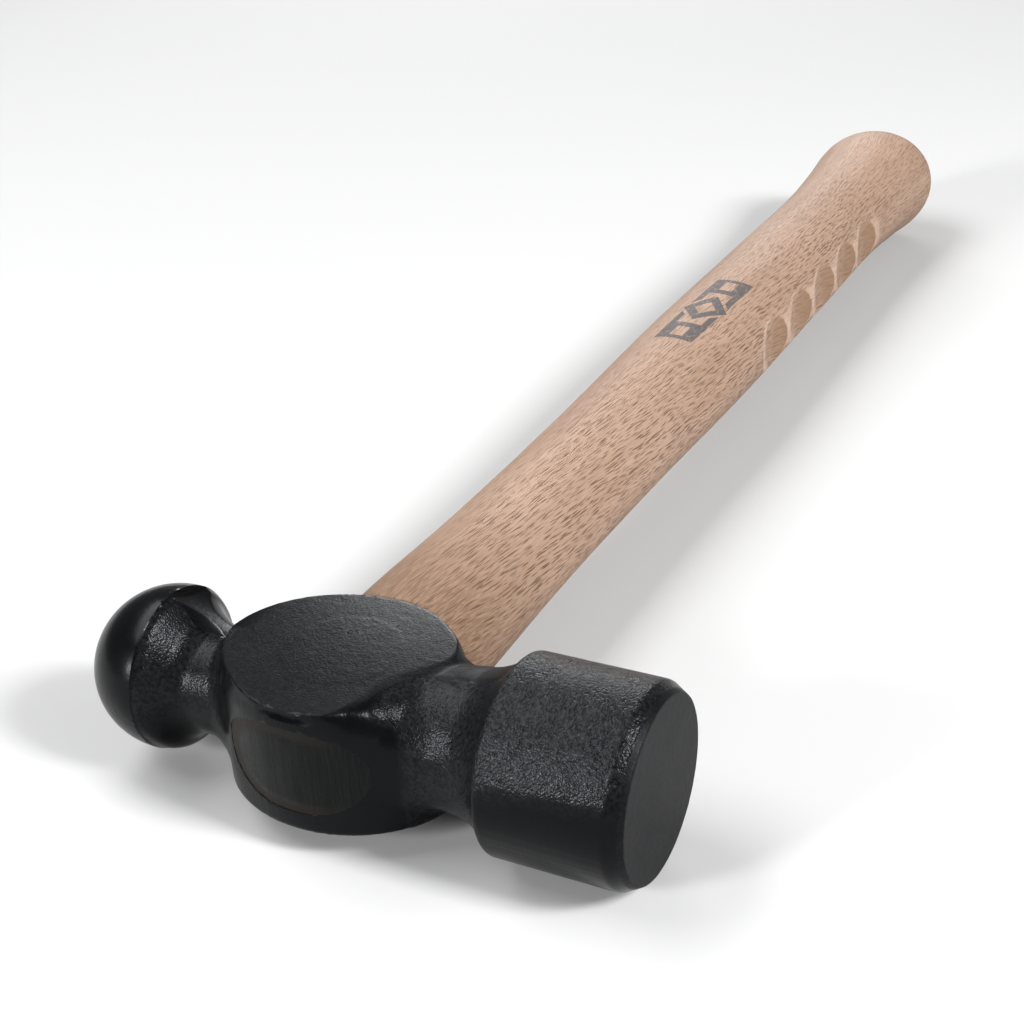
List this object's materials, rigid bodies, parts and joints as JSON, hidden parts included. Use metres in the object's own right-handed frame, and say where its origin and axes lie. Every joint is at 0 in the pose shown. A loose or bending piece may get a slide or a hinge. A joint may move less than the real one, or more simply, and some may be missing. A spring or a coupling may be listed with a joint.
{
  "type": "ball peen hammer",
  "caption": "Ball peen hammer: black forged steel head with a round ball and a bevelled poll on a waisted body, wedged onto an oval beech handle with finger grooves and a flared knob.",
  "frame": {"origin": "centre of the outline on the surface that the hammer lies on, under the middle of its length", "axes": "+X along the head towards the striking face, +Y along the handle towards its knob, +Z square to the cheeks, away from the surface the hammer lies on"},
  "size_m": [0.114, 0.377, 0.036],
  "materials": {
    "head_paint": "satin black paint on rough forged steel",
    "beech": "pinkish tan beech with short dark flecks, thin clear finish",
    "wedge_wood": "end grain under black paint",
    "wedge_steel": "ground flush, under black paint"
  },
  "bodies": {
    "root": {"hammer_head": "head_paint", "handle": "beech", "wooden_wedge": "wedge_wood", "steel_wedge": "wedge_steel"}
  },
  "joints": []
}
